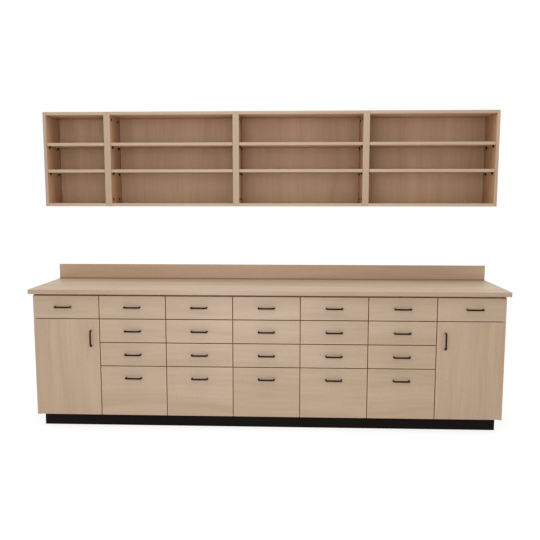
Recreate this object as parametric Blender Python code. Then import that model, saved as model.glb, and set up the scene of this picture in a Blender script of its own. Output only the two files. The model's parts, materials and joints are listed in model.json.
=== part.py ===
"""Pharmacy cabinet with wall shelves.

A run of drawer and cupboard units stands on a plinth under one worktop, and a run of open
shelf boxes hangs on the wall above it.  X runs along the wall, +Y points into the wall and
+Z is up.  The origin is on the floor, under the middle of the assembly's box.
"""
import math

import bmesh
import bpy
from mathutils import Matrix, Vector

# Base run
RUN_WIDTH = 3.000
COLUMNS = 7
BASE_DEPTH = 0.575
PANEL = 0.019
BACK_PANEL = 0.006
BACK_RECESS = 0.016
TOP_RAIL_DEPTH = 0.100
ANCHOR_RAIL_HEIGHT = 0.090

# Plinth under the base run: two long boards and the cross boards between them
PLINTH_HEIGHT = 0.092
PLINTH_SETBACK = 0.075
PLINTH_END_SETBACK = 0.024
PLINTH_BACK_SETBACK = 0.030
PLINTH_BOARD = 0.019

# Fronts: pitches run from the middle of one gap to the middle of the next
FRONT_THICKNESS = 0.019
FRONT_GAP = 0.0045
FRONT_LIFT = 0.003
CLOSING_GAP = 0.002
FRONT_EASE = 0.001
DRAWER_PITCH = 0.154
FILE_PITCH = 0.326
TOP_FRONT_TRIM = 0.005
TOP_REVEAL = 0.012

# Worktop and its splash
WORKTOP_THICKNESS = 0.028
WORKTOP_FRONT_OVERHANG = 0.025
WORKTOP_END_OVERHANG = 0.022
WORKTOP_CORNER_RADIUS = 0.008
WORKTOP_CORNER_STEPS = 3
WORKTOP_EDGE_RADIUS = 0.002
WORKTOP_EDGE_STEPS = 2
SPLASH_HEIGHT = 0.104
SPLASH_THICKNESS = 0.019
SPLASH_END_INSET = 0.005

# Drawer boxes
BOX_BACK_GAP = 0.034
BOX_SIDE = 0.012
BOX_FLOOR = 0.008
BOX_LIFT = 0.028
BOX_DROP = 0.022

# Roller slides: a C channel on the cabinet, a runner and a rear roller on the drawer box
SLIDE_SPACE = 0.0125
SLIDE_PLAY = 0.0025
SLIDE_STEEL = 0.0015
CHANNEL_RISE = 0.0015
ROLLER_RADIUS = 0.008
RUNNER_THICKNESS = 0.002
ROLLER_MARGIN = 0.003

# Door pivots: pins on plates in the gaps above and below each door
PIVOT_INSET = 0.006
PIVOT_DEPTH = 0.008
PIN_RADIUS = 0.003
PIN_LENGTH = 0.010
PIN_CLEARANCE = 0.0005
PLATE_THICKNESS = 0.002
PLATE_WIDTH = 0.016
PLATE_TONGUE = 0.012

# Wire pulls
PULL_SPAN = 0.099
PULL_WIRE = 0.011
PULL_PROJECTION = 0.030
PULL_BEND = 0.011
PULL_BEND_STEPS = 3
PULL_DROP = 0.077
PULL_END_SHIFT = 0.018
PULL_DOOR_INSET = 0.053

# Wall boxes with their shelves
CASE_GAP = 0.523
CASE_HEIGHT = 0.621
CASE_DEPTH = 0.276
CASE_PANEL = 0.020
CASE_JOINT = 0.001
CASE_BACK_PANEL = 0.006
CASE_BACK_RECESS = 0.016
HANGING_RAIL_HEIGHT = 0.080
SHELF_THICKNESS = 0.020
SHELF_TOPS = {"lower": 0.2445, "upper": 0.4200}
SHELF_END_GAP = 0.001
SHELF_SETBACK = 0.002
CLIP_INSET = 0.050
CLIP_WIDTH = 0.014
CLIP_HEIGHT = 0.017
CLIP_REACH = 0.0098
CLIP_STEEL = 0.0025
BOLT_RADIUS = 0.004
BOLT_HEAD_RADIUS = 0.008
BOLT_HEAD = 0.0028
BOLT_FRONT_INSET = 0.046
BOLT_BACK_INSET = 0.060
BOLT_DROP = 0.027
BOLT_SIDES = 8

# Fits between pieces
SEAT_GAP = 0.0003
TENON = 0.001
OVERCUT = 0.010
ROUND_SIDES = 10

# Places worked out from the sizes above
PITCH = RUN_WIDTH / COLUMNS
FRONT_WIDTH = PITCH - FRONT_GAP
OVERALL_DEPTH = BASE_DEPTH + PULL_PROJECTION
WALL_Y = OVERALL_DEPTH / 2
FACE_Y = WALL_Y - BASE_DEPTH
CARCASS_Y = FACE_Y + FRONT_THICKNESS + CLOSING_GAP
BACK_Y = WALL_Y - BACK_RECESS - BACK_PANEL
CARCASS_Z = PLINTH_HEIGHT
FRONT_Z = CARCASS_Z + FRONT_LIFT
ROW_EDGES = [FRONT_Z, FRONT_Z + FILE_PITCH]
ROW_EDGES += [ROW_EDGES[1] + count * DRAWER_PITCH for count in (1, 2, 3)]
TOP_FRONT_Z = ROW_EDGES[4] - TOP_FRONT_TRIM
CARCASS_TOP = TOP_FRONT_Z + TOP_REVEAL
WORKTOP_Z = CARCASS_TOP + WORKTOP_THICKNESS
CASE_Z = WORKTOP_Z + CASE_GAP
CASE_TOP = CASE_Z + CASE_HEIGHT
CASE_Y = WALL_Y - CASE_DEPTH
CASE_BACK_Y = WALL_Y - CASE_BACK_RECESS - CASE_BACK_PANEL
HALF_GAP = FRONT_GAP / 2

# Row name: low and high edge of its front, above the floor
ROWS = {
    "file": (ROW_EDGES[0], ROW_EDGES[1] - HALF_GAP),
    "third": (ROW_EDGES[1] + HALF_GAP, ROW_EDGES[2] - HALF_GAP),
    "second": (ROW_EDGES[2] + HALF_GAP, ROW_EDGES[3] - HALF_GAP),
    "top": (ROW_EDGES[3] + HALF_GAP, TOP_FRONT_Z),
}
DOOR_EDGES = (FRONT_Z, ROW_EDGES[3] - HALF_GAP)

# Slide heights above the drawer box's underside
CHANNEL_FLOOR = CHANNEL_RISE + SLIDE_STEEL
ROLLER_RISE = CHANNEL_FLOOR + SEAT_GAP + ROLLER_RADIUS
RUNNER_RISE = ROLLER_RISE + ROLLER_RADIUS + SEAT_GAP
CHANNEL_CEILING = RUNNER_RISE + RUNNER_THICKNESS + SEAT_GAP
CHANNEL_REACH = SLIDE_SPACE - SLIDE_PLAY
RUNNER_REACH = SLIDE_SPACE - SLIDE_STEEL - SLIDE_PLAY
FRONT_ROLLER_Y = CARCASS_Y + ROLLER_MARGIN + ROLLER_RADIUS
CHANNEL_Y = FRONT_ROLLER_Y + ROLLER_RADIUS + ROLLER_MARGIN
BOX_END_Y = BACK_Y - BOX_BACK_GAP


def finish(name, colour, roughness, metallic=0.0):
    """A Principled material with one colour."""
    material = bpy.data.materials.new(name)
    material.use_nodes = True
    shader = material.node_tree.nodes["Principled BSDF"]
    shader.inputs["Base Color"].default_value = (*colour, 1.0)
    shader.inputs["Roughness"].default_value = roughness
    shader.inputs["Metallic"].default_value = metallic
    material.diffuse_color = (*colour, 1.0)
    return material


def as_object(name, mesh_data, material):
    """Link a bmesh as a named object with its faces pointing out."""
    bmesh.ops.recalc_face_normals(mesh_data, faces=mesh_data.faces)
    mesh = bpy.data.meshes.new(name)
    mesh_data.to_mesh(mesh)
    mesh_data.free()
    mesh.materials.append(material)
    thing = bpy.data.objects.new(name, mesh)
    bpy.context.scene.collection.objects.link(thing)
    return thing


def block(low, high):
    """A bmesh box between two corners."""
    mesh_data = bmesh.new()
    bmesh.ops.create_cube(mesh_data, size=1.0)
    low, high = Vector(low), Vector(high)
    size = Matrix.Diagonal(high - low).to_4x4()
    mesh_data.transform(Matrix.Translation((low + high) / 2) @ size)
    return mesh_data


def ease(mesh_data, width, wanted, segments=1):
    """Round the edges whose two ends both pass the test."""
    edges = [edge for edge in mesh_data.edges if all(wanted(vert.co) for vert in edge.verts)]
    bmesh.ops.bevel(mesh_data, geom=edges, offset=width, segments=segments, profile=0.5, affect='EDGES')
    return mesh_data


def prism(outline, along, low, high):
    """Extrude an outline along one axis; its pairs are the other two axes in order."""
    mesh_data = bmesh.new()
    slots = [axis for axis in range(3) if axis != along]
    corners = []
    for pair in outline:
        point = [low, low, low]
        point[slots[0]], point[slots[1]] = pair
        corners.append(mesh_data.verts.new(point))
    base = mesh_data.faces.new(corners)
    grown = bmesh.ops.extrude_face_region(mesh_data, geom=[base], use_keep_orig=True)
    step = Vector([high - low if axis == along else 0.0 for axis in range(3)])
    moved = [item for item in grown["geom"] if isinstance(item, bmesh.types.BMVert)]
    bmesh.ops.translate(mesh_data, verts=moved, vec=step)
    return mesh_data


def circle(centre, radius, sides=ROUND_SIDES):
    """Corner points of a round outline."""
    turns = [2 * math.pi * (count + 0.5) / sides for count in range(sides)]
    return [(centre[0] + radius * math.cos(turn), centre[1] + radius * math.sin(turn)) for turn in turns]


def quarter_turn(centre, radius, start, steps):
    """Points of a quarter circle that begins at a start angle and turns anticlockwise."""
    turns = [start + math.pi / 2 * count / steps for count in range(steps + 1)]
    return [(centre[0] + radius * math.cos(turn), centre[1] + radius * math.sin(turn)) for turn in turns]


def tray(low, high, wall, floor):
    """Open box: the top is inset by the wall and pushed down to the floor."""
    mesh_data = block(low, high)
    top = max(mesh_data.faces, key=lambda face: face.calc_center_median().z)
    bmesh.ops.inset_region(mesh_data, faces=[top], thickness=wall, use_even_offset=True)
    sunk = bmesh.ops.extrude_discrete_faces(mesh_data, faces=[top])["faces"][0]
    depth = high[2] - low[2] - floor
    bmesh.ops.translate(mesh_data, verts=sunk.verts, vec=(0.0, 0.0, -depth))
    return mesh_data


def boolean(body, tools, operation, material=None):
    """Apply one Boolean of the body with several bmeshes, which may have a finish of their own."""
    group = bpy.data.collections.new(body.name + "_tools")
    bpy.context.scene.collection.children.link(group)
    for tool in tools:
        bmesh.ops.recalc_face_normals(tool, faces=tool.faces)
        mesh = bpy.data.meshes.new("tool")
        tool.to_mesh(mesh)
        tool.free()
        mesh.materials.append(material or body.data.materials[0])
        group.objects.link(bpy.data.objects.new("tool", mesh))
    modifier = body.modifiers.new(operation.lower(), 'BOOLEAN')
    modifier.operation = operation
    modifier.solver = 'EXACT'
    modifier.material_mode = 'TRANSFER'
    modifier.operand_type = 'COLLECTION'
    modifier.collection = group
    graph = bpy.context.evaluated_depsgraph_get()
    result = bpy.data.meshes.new_from_object(body.evaluated_get(graph))
    body.modifiers.clear()
    body.data = result
    for tool in list(group.objects):
        bpy.data.objects.remove(tool, do_unlink=True)
    bpy.data.collections.remove(group)
    return body


def column_x(column):
    """Middle of a column of fronts, counted from 1 at the left."""
    return (column - (COLUMNS + 1) / 2) * PITCH


def bay(column):
    """Inner faces of the carcass boards on either side of a column."""
    left = column_x(column) - PITCH / 2
    right = left + PITCH
    left += PANEL if column == 1 else PANEL / 2
    right -= PANEL if column == COLUMNS else PANEL / 2
    return left, right


def column_rows(column):
    """Rows of drawers in a column: the two end columns have one, over a cupboard."""
    return ["top"] if column in (1, COLUMNS) else list(ROWS)


def make_plinth(material):
    """Boards on edge, set back from the fronts, the ends and the wall."""
    half = RUN_WIDTH / 2 - PLINTH_END_SETBACK
    front = FACE_Y + PLINTH_SETBACK
    back = WALL_Y - PLINTH_BACK_SETBACK
    top = PLINTH_HEIGHT - SEAT_GAP
    cross_front = front + PLINTH_BOARD + SEAT_GAP
    cross_back = back - PLINTH_BOARD - SEAT_GAP
    as_object("plinth_front", block((-half, front, 0.0), (half, front + PLINTH_BOARD, top)), material)
    as_object("plinth_back", block((-half, back - PLINTH_BOARD, 0.0), (half, back, top)), material)
    for name, left in (
        ("plinth_left", -half),
        ("plinth_middle", -PLINTH_BOARD / 2),
        ("plinth_right", half - PLINTH_BOARD),
    ):
        board = block((left, cross_front, 0.0), (left + PLINTH_BOARD, cross_back, top))
        as_object(name, board, material)


def cabinet_slide(face, inward, underside):
    """Cabinet half of a roller slide: a C channel and the roller in front of its mouth."""
    low = underside + CHANNEL_RISE
    high = underside + CHANNEL_CEILING + SLIDE_STEEL
    root = face - inward * TENON
    web = face + inward * SLIDE_STEEL
    lip = face + inward * CHANNEL_REACH
    outline = [
        (root, low),
        (lip, low),
        (lip, low + SLIDE_STEEL),
        (web, low + SLIDE_STEEL),
        (web, high - SLIDE_STEEL),
        (lip, high - SLIDE_STEEL),
        (lip, high),
        (root, high),
    ]
    channel = prism(outline, 1, CHANNEL_Y, BOX_END_Y)
    centre = (FRONT_ROLLER_Y, underside + ROLLER_RISE)
    roller = prism(circle(centre, ROLLER_RADIUS), 0, min(root, lip), max(root, lip))
    return [channel, roller]


def door_pivots(side):
    """Two plates set into the carcass edge, with pins that the door turns on."""
    pivot_x = side * (RUN_WIDTH / 2 - HALF_GAP - PIVOT_INSET)
    pivot_y = FACE_Y + PIVOT_DEPTH
    parts = []
    plate_front = pivot_y - PIN_RADIUS - PLATE_THICKNESS
    plate_back = CARCASS_Y + PLATE_TONGUE
    lower = (CARCASS_Z, CARCASS_Z + PLATE_THICKNESS)
    upper_middle = ROW_EDGES[3]
    upper = (upper_middle - PLATE_THICKNESS / 2, upper_middle + PLATE_THICKNESS / 2)
    inner = pivot_x - side * (PLATE_WIDTH - PIVOT_INSET)
    outer = pivot_x + side * (PIVOT_INSET - TENON)
    for low_z, high_z in (lower, upper):
        low = (min(inner, outer), plate_front, low_z)
        high = (max(inner, outer), plate_back, high_z)
        parts.append(block(low, high))
    pin = circle((pivot_x, pivot_y), PIN_RADIUS)
    parts.append(prism(pin, 2, lower[1] - TENON, lower[1] + PIN_LENGTH))
    parts.append(prism(pin, 2, upper[0] - PIN_LENGTH, upper[0] + TENON))
    return parts


def slides_on(face, inward, column):
    """Cabinet halves of the slides of one column, on one face of a board."""
    parts = []
    for row in column_rows(column):
        parts += cabinet_slide(face, inward, ROWS[row][0] + BOX_LIFT)
    return parts


def make_ends(material):
    """The two end boards, with the slides of the end drawers and the door pivots."""
    for name, side, column in (("base_end_left", -1, 1), ("base_end_right", 1, COLUMNS)):
        outer = side * RUN_WIDTH / 2
        inner = outer - side * PANEL
        low = (min(outer, inner), CARCASS_Y, CARCASS_Z)
        high = (max(outer, inner), WALL_Y, CARCASS_TOP - SEAT_GAP)
        end = as_object(name, block(low, high), material)
        boolean(end, slides_on(inner, -side, column) + door_pivots(side), 'UNION')


def make_partitions(material):
    """Boards between the columns, with slides on both faces."""
    for number in range(1, COLUMNS):
        left = bay(number)[1]
        right = left + PANEL
        low = (left, CARCASS_Y, CARCASS_Z + PANEL + SEAT_GAP)
        high = (right, BACK_Y - SEAT_GAP, CARCASS_TOP - PANEL - SEAT_GAP)
        board = as_object(f"base_partition_{number}", block(low, high), material)
        boolean(board, slides_on(left, -1, number) + slides_on(right, 1, number + 1), 'UNION')


def make_base_boards(material):
    """Bottom, back, rails and the dividers over the cupboards, each between its neighbours."""
    half = RUN_WIDTH / 2 - PANEL - SEAT_GAP
    floor = CARCASS_Z + PANEL
    rail_low = CARCASS_TOP - PANEL
    anchor_low = CARCASS_TOP - ANCHOR_RAIL_HEIGHT
    top = CARCASS_TOP - SEAT_GAP
    back = BACK_Y + BACK_PANEL
    front_rail_y = CARCASS_Y + TOP_RAIL_DEPTH
    rear_rail_y = BACK_Y - TOP_RAIL_DEPTH
    boards = {
        "base_bottom": ((-half, CARCASS_Y, CARCASS_Z), (half, WALL_Y, floor)),
        "base_back": ((-half, BACK_Y, floor + SEAT_GAP), (half, back, top)),
        "base_anchor_rail": ((-half, back + SEAT_GAP, anchor_low), (half, WALL_Y, top)),
        "base_front_rail": ((-half, CARCASS_Y, rail_low), (half, front_rail_y, top)),
        "base_rear_rail": ((-half, rear_rail_y, rail_low), (half, BACK_Y - SEAT_GAP, top)),
    }
    for name, column in (("base_divider_left", 1), ("base_divider_right", COLUMNS)):
        left, right = bay(column)
        low = (left + SEAT_GAP, CARCASS_Y, ROW_EDGES[3] - PANEL / 2)
        high = (right - SEAT_GAP, BACK_Y - SEAT_GAP, ROW_EDGES[3] + PANEL / 2)
        boards[name] = (low, high)
    for name, (low, high) in boards.items():
        as_object(name, block(low, high), material)


def make_worktop(material):
    """Slab with rounded front corners, and the splash that stands along its back."""
    half = RUN_WIDTH / 2 + WORKTOP_END_OVERHANG
    front = FACE_Y - WORKTOP_FRONT_OVERHANG
    radius = WORKTOP_CORNER_RADIUS
    outline = [(half, WALL_Y), (-half, WALL_Y)]
    outline += quarter_turn((-half + radius, front + radius), radius, math.pi, WORKTOP_CORNER_STEPS)
    outline += quarter_turn((half - radius, front + radius), radius, 1.5 * math.pi, WORKTOP_CORNER_STEPS)
    slab = prism(outline, 2, CARCASS_TOP, WORKTOP_Z)

    def on_top_edge(point):
        return point.z > WORKTOP_Z - TENON and point.y < WALL_Y - TENON

    ease(slab, WORKTOP_EDGE_RADIUS, on_top_edge, WORKTOP_EDGE_STEPS)
    worktop = as_object("worktop", slab, material)
    splash_half = half - SPLASH_END_INSET
    low = (-splash_half, WALL_Y - SPLASH_THICKNESS, WORKTOP_Z - TENON)
    high = (splash_half, WALL_Y, WORKTOP_Z + SPLASH_HEIGHT)
    splash = block(low, high)
    ease(splash, FRONT_EASE, lambda point: point.z > WORKTOP_Z and point.y < WALL_Y - TENON)
    return boolean(worktop, [splash], 'UNION')


def front_board(width_low, width_high, height):
    """Overlay front with an eased face, from y 0 back to the front's thickness."""
    board = block((width_low, 0.0, 0.0), (width_high, FRONT_THICKNESS, height))
    return ease(board, FRONT_EASE, lambda point: point.y < TENON / 2)


def pull_place(column, row):
    """Middle of a pull on its drawer front: a set distance below the gap over the front."""
    over = ROW_EDGES[list(ROWS).index(row) + 1]
    shift = {1: -PULL_END_SHIFT, COLUMNS: PULL_END_SHIFT}.get(column, 0.0)
    return shift, 0.0, over - PULL_DROP - ROWS[row][0]


def make_drawer_mesh(row, column, wood, metal):
    """Drawer with its front, box, runners, rear rollers and pull; origin low on the front's face."""
    low_z, high_z = ROWS[row]
    height = high_z - low_z
    left, right = (edge - column_x(column) for edge in bay(column))
    box_left, box_right = left + SLIDE_SPACE, right - SLIDE_SPACE
    box_end = BOX_END_Y - FACE_Y
    box_low = (box_left, FRONT_THICKNESS - TENON, BOX_LIFT)
    box_high = (box_right, box_end, height - BOX_DROP)
    parts = [tray(box_low, box_high, BOX_SIDE, BOX_FLOOR)]
    roller_y = box_end - ROLLER_MARGIN - ROLLER_RADIUS
    runner_end = roller_y - ROLLER_RADIUS - ROLLER_MARGIN
    runner_low = BOX_LIFT + RUNNER_RISE
    for face, outward in ((box_left, -1), (box_right, 1)):
        root = face - outward * TENON
        lip = face + outward * RUNNER_REACH
        low = (min(root, lip), FRONT_THICKNESS - TENON, runner_low)
        high = (max(root, lip), runner_end, runner_low + RUNNER_THICKNESS)
        parts.append(block(low, high))
        rim = circle((roller_y, BOX_LIFT + ROLLER_RISE), ROLLER_RADIUS)
        parts.append(prism(rim, 0, min(root, lip), max(root, lip)))
    board = front_board(-FRONT_WIDTH / 2, FRONT_WIDTH / 2, height)
    drawer = boolean(as_object("drawer", board, wood), parts, 'UNION')
    wire = solid_wire(pull_curve(TENON, metal), pull_place(column, row))
    return boolean(drawer, [wire], 'UNION', metal)


def make_drawers(wood, metal):
    """Every drawer, as a copy of the one for its row and its kind of bay."""
    patterns = {}
    for column in range(1, COLUMNS + 1):
        for row in column_rows(column):
            left, right = bay(column)
            size = round(ROWS[row][1] - ROWS[row][0], 6)
            kind = (size, round(left - column_x(column), 6), round(right - column_x(column), 6))
            if kind not in patterns:
                pattern = make_drawer_mesh(row, column, wood, metal)
                patterns[kind] = pattern.data
                bpy.data.objects.remove(pattern, do_unlink=True)
            drawer = bpy.data.objects.new(f"drawer_{column}_{row}", patterns[kind])
            drawer.location = (column_x(column), FACE_Y, ROWS[row][0])
            bpy.context.scene.collection.objects.link(drawer)


def pull_curve(foot_y, material):
    """Wire bent to a flat-backed loop: two feet, two bends and the bar."""
    half = PULL_SPAN / 2
    bend_y = -PULL_PROJECTION + PULL_WIRE / 2 + PULL_BEND
    points = [(-half, foot_y)]
    points += quarter_turn((-half + PULL_BEND, bend_y), PULL_BEND, math.pi, PULL_BEND_STEPS)
    points += quarter_turn((half - PULL_BEND, bend_y), PULL_BEND, 1.5 * math.pi, PULL_BEND_STEPS)
    points.append((half, foot_y))
    curve = bpy.data.curves.new("pull", 'CURVE')
    curve.dimensions = '3D'
    curve.bevel_depth = PULL_WIRE / 2
    curve.bevel_resolution = 2
    curve.use_fill_caps = True
    spline = curve.splines.new('POLY')
    spline.points.add(len(points) - 1)
    for point, (x, y) in zip(spline.points, points):
        point.co = (x, y, 0.0, 1.0)
    curve.materials.append(material)
    return curve


def solid_wire(curve, place):
    """The curve's tube as a bmesh, moved to its place."""
    holder = bpy.data.objects.new("wire", curve)
    bpy.context.scene.collection.objects.link(holder)
    graph = bpy.context.evaluated_depsgraph_get()
    mesh = bpy.data.meshes.new_from_object(holder.evaluated_get(graph))
    bpy.data.objects.remove(holder, do_unlink=True)
    mesh_data = bmesh.new()
    mesh_data.from_mesh(mesh)
    mesh_data.transform(Matrix.Translation(place))
    return mesh_data


def make_door(name, side, material):
    """Door with blind pivot holes in its top and bottom edges; origin on the pivot's axis."""
    outer = side * PIVOT_INSET
    inner = outer - side * FRONT_WIDTH
    height = DOOR_EDGES[1] - DOOR_EDGES[0]
    board = front_board(min(outer, inner), max(outer, inner), height)
    board.transform(Matrix.Translation((0.0, -PIVOT_DEPTH, 0.0)))
    door = as_object(name, board, material)
    hole = circle((0.0, 0.0), PIN_RADIUS + PIN_CLEARANCE)
    depth = PIN_LENGTH + PIN_RADIUS
    bottom_hole = prism(hole, 2, -OVERCUT, depth)
    top_hole = prism(hole, 2, height - depth, height + OVERCUT)
    boolean(door, [bottom_hole, top_hole], 'DIFFERENCE')
    door.location = (
        side * (RUN_WIDTH / 2 - HALF_GAP - PIVOT_INSET),
        FACE_Y + PIVOT_DEPTH,
        DOOR_EDGES[0],
    )
    return door


def make_doors(wood, metal):
    """The two doors, each with its upright pull on the edge away from the pivots."""
    curve = pull_curve(-SEAT_GAP, metal)
    for name, side in (("door_left", -1), ("door_right", 1)):
        door = make_door(name, side, wood)
        pull = bpy.data.objects.new("pull_" + name, curve)
        pull.parent = door
        x = side * (PIVOT_INSET - FRONT_WIDTH + PULL_DOOR_INSET)
        z = ROW_EDGES[3] - PULL_DROP - PULL_SPAN / 2 - DOOR_EDGES[0]
        pull.location = (x, -PIVOT_DEPTH, z)
        pull.rotation_euler = (0.0, math.pi / 2, 0.0)
        bpy.context.scene.collection.objects.link(pull)


def case_edges():
    """Joint lines between the wall boxes: one narrow box at an odd end, then double ones."""
    spans = [1] * (COLUMNS % 2) + [2] * (COLUMNS // 2)
    edges = [-RUN_WIDTH / 2]
    for span in spans:
        edges.append(edges[-1] + span * PITCH)
    return edges


def cells():
    """Inner faces of the sides of each wall box."""
    edges = case_edges()
    last = len(edges) - 2
    found = []
    for number in range(last + 1):
        left = edges[number] + CASE_PANEL + (CASE_JOINT / 2 if number > 0 else 0.0)
        right = edges[number + 1] - CASE_PANEL - (CASE_JOINT / 2 if number < last else 0.0)
        found.append((left, right))
    return found


def connector(face, inward, y, z):
    """Half of a connector through a box side: its head in the box and its shank to the joint."""
    head_rim = circle((y, z), BOLT_HEAD_RADIUS, BOLT_SIDES)
    head_ends = sorted((face - inward * TENON, face + inward * BOLT_HEAD))
    shank_rim = circle((y, z), BOLT_RADIUS, BOLT_SIDES)
    shank_end = face - inward * (CASE_PANEL + (CASE_JOINT - SEAT_GAP) / 2)
    return [prism(head_rim, 0, *head_ends), prism(shank_rim, 0, *sorted((face, shank_end)))]


def shelf_clip(face, inward, y, underside):
    """Wedge clip under a shelf end: a leg on the box side, widening to a pad under the shelf."""
    top = underside - SEAT_GAP
    root = face - inward * TENON
    leg = face + inward * CLIP_STEEL
    lip = face + inward * CLIP_REACH
    low = top - CLIP_HEIGHT
    outline = [
        (root, low),
        (leg, low),
        (lip, top - CLIP_STEEL),
        (lip, top),
        (root, top),
    ]
    return prism(outline, 1, y - CLIP_WIDTH / 2, y + CLIP_WIDTH / 2)


def box_fittings(left, right, joined_faces):
    """Shelf clips and connector halves on the sides of one wall box."""
    fittings = []
    for top in SHELF_TOPS.values():
        underside = CASE_Z + top - SHELF_THICKNESS
        for y in (CASE_Y + CLIP_INSET, CASE_BACK_Y - CLIP_INSET):
            fittings.append(shelf_clip(left, 1, y, underside))
            fittings.append(shelf_clip(right, -1, y, underside))
    for face, inward in joined_faces:
        for y in (CASE_Y + BOLT_FRONT_INSET, CASE_BACK_Y - BOLT_BACK_INSET):
            for z in (CASE_Z + CASE_PANEL + BOLT_DROP, CASE_TOP - CASE_PANEL - BOLT_DROP):
                fittings += connector(face, inward, y, z)
    return fittings


def make_wall_boxes(material):
    """Open boxes with recessed backs and hanging rails, joined side to side by connectors."""
    floor, ceiling = CASE_Z + CASE_PANEL, CASE_TOP - CASE_PANEL
    insides = cells()
    for number, (left, right) in enumerate(insides, start=1):
        low = (left - CASE_PANEL, CASE_Y, CASE_Z)
        high = (right + CASE_PANEL, WALL_Y, CASE_TOP)
        box = as_object(f"wall_box_{number}", block(low, high), material)
        inside = block((left, CASE_Y - OVERCUT, floor), (right, CASE_BACK_Y, ceiling))
        recess_low = (left, WALL_Y - CASE_BACK_RECESS, floor)
        recess_high = (right, WALL_Y + OVERCUT, ceiling - HANGING_RAIL_HEIGHT)
        boolean(box, [inside, block(recess_low, recess_high)], 'DIFFERENCE')
        joined_faces = [(left, 1)] if number > 1 else []
        joined_faces += [(right, -1)] if number < len(insides) else []
        boolean(box, box_fittings(left, right, joined_faces), 'UNION')


def make_shelves(material):
    """Loose shelves lying on their clips, with an eased front edge."""
    for number, (left, right) in enumerate(cells(), start=1):
        for level, top in SHELF_TOPS.items():
            low = (left + SHELF_END_GAP, CASE_Y + SHELF_SETBACK, CASE_Z + top - SHELF_THICKNESS)
            high = (right - SHELF_END_GAP, CASE_BACK_Y - SHELF_SETBACK, CASE_Z + top)
            board = block(low, high)
            front = low[1] + TENON / 2
            ease(board, FRONT_EASE, lambda point: point.y < front)
            as_object(f"shelf_{number}_{level}", board, material)


def main():
    for old in list(bpy.data.objects):
        bpy.data.objects.remove(old, do_unlink=True)
    wood = finish("maple_laminate", (0.48, 0.35, 0.23), 0.45)
    top_wood = finish("worktop_laminate", (0.56, 0.43, 0.31), 0.40)
    board = finish("case_laminate", (0.42, 0.30, 0.20), 0.50)
    black_board = finish("black_plinth", (0.012, 0.010, 0.009), 0.60)
    black_metal = finish("black_metal", (0.015, 0.012, 0.010), 0.35, 1.0)
    make_plinth(black_board)
    make_ends(board)
    make_partitions(board)
    make_base_boards(board)
    make_worktop(top_wood)
    make_drawers(wood, black_metal)
    make_doors(wood, black_metal)
    make_wall_boxes(board)
    make_shelves(board)


main()
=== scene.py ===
# %% [markdown]
# # A pharmacy cabinet with wall shelves
#
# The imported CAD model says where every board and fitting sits. This lesson dresses it: each board
# gets a wood-grain laminate whose grain runs the right way, each fitting gets its own metal or
# nylon, and a plain studio is set up around it. The frame comes first, because every later place
# and most sizes are read from it.

# %% Load the frame
import json
import math
import random

import bmesh
import bpy
from mathutils import Matrix, Vector


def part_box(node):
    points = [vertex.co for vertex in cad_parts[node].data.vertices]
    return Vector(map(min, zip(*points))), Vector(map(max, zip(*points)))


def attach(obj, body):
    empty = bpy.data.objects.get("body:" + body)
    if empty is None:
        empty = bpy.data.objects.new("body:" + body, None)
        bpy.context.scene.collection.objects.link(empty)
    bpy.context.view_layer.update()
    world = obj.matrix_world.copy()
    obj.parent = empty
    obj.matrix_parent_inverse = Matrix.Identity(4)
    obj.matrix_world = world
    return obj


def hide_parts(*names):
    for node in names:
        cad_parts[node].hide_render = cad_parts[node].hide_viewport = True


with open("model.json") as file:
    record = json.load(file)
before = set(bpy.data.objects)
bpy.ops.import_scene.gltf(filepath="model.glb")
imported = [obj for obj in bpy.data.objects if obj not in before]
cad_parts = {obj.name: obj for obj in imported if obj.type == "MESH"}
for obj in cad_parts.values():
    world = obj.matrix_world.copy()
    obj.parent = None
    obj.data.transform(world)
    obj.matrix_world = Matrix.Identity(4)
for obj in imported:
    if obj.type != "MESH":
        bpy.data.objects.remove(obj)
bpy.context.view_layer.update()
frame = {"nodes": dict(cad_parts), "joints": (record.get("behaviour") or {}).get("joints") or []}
CABINET = "cabinet"
X, Y, Z = range(3)

# %% [markdown]
# ## Shader sums written as Python sums
#
# A finish is a tree of nodes, and most of its nodes are plain arithmetic on noise. Those could be
# placed one by one, which is long to read. Instead a small class wraps an output socket, and each
# operator on it adds the Math node that does that sum. A second class holds the tree, and its one
# method makes every other kind of node. A finish is such a tree around one Principled shader.

# %% A socket that can be added and multiplied
class Wire:
    """An output socket. Each operator adds one Math node and gives its output."""

    def __init__(self, nodes, socket):
        self.nodes = nodes
        self.socket = socket

    def sum(self, operation, first, second):
        return self.nodes.node("ShaderNodeMath", {"operation": operation}, {0: first, 1: second})

    def __add__(self, other):
        return self.sum("ADD", self, other)

    def __sub__(self, other):
        return self.sum("SUBTRACT", self, other)

    def __rsub__(self, other):
        return self.sum("SUBTRACT", other, self)

    def __mul__(self, other):
        return self.sum("MULTIPLY", self, other)

    __radd__ = __add__
    __rmul__ = __mul__


print("sums ready: add, subtract, multiply")

# %% Trees and finishes
MIX_FACTOR, MIX_FIRST, MIX_SECOND, MIX_COLOUR = 0, 6, 7, 2


class Nodes:
    """A node tree in the making."""

    def __init__(self, tree):
        self.tree = tree

    def node(self, kind, settings=None, sockets=None, output=0):
        """Add a node: its settings first, then values and links; gives one output."""
        made = self.tree.nodes.new(kind)
        for name, value in (settings or {}).items():
            setattr(made, name, value)
        self.feed(made, sockets or {})
        return Wire(self, made.outputs[output]) if made.outputs else None

    def feed(self, made, sockets):
        for name, value in sockets.items():
            if isinstance(value, Wire):
                self.tree.links.new(value.socket, made.inputs[name])
            else:
                made.inputs[name].default_value = value


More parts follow.
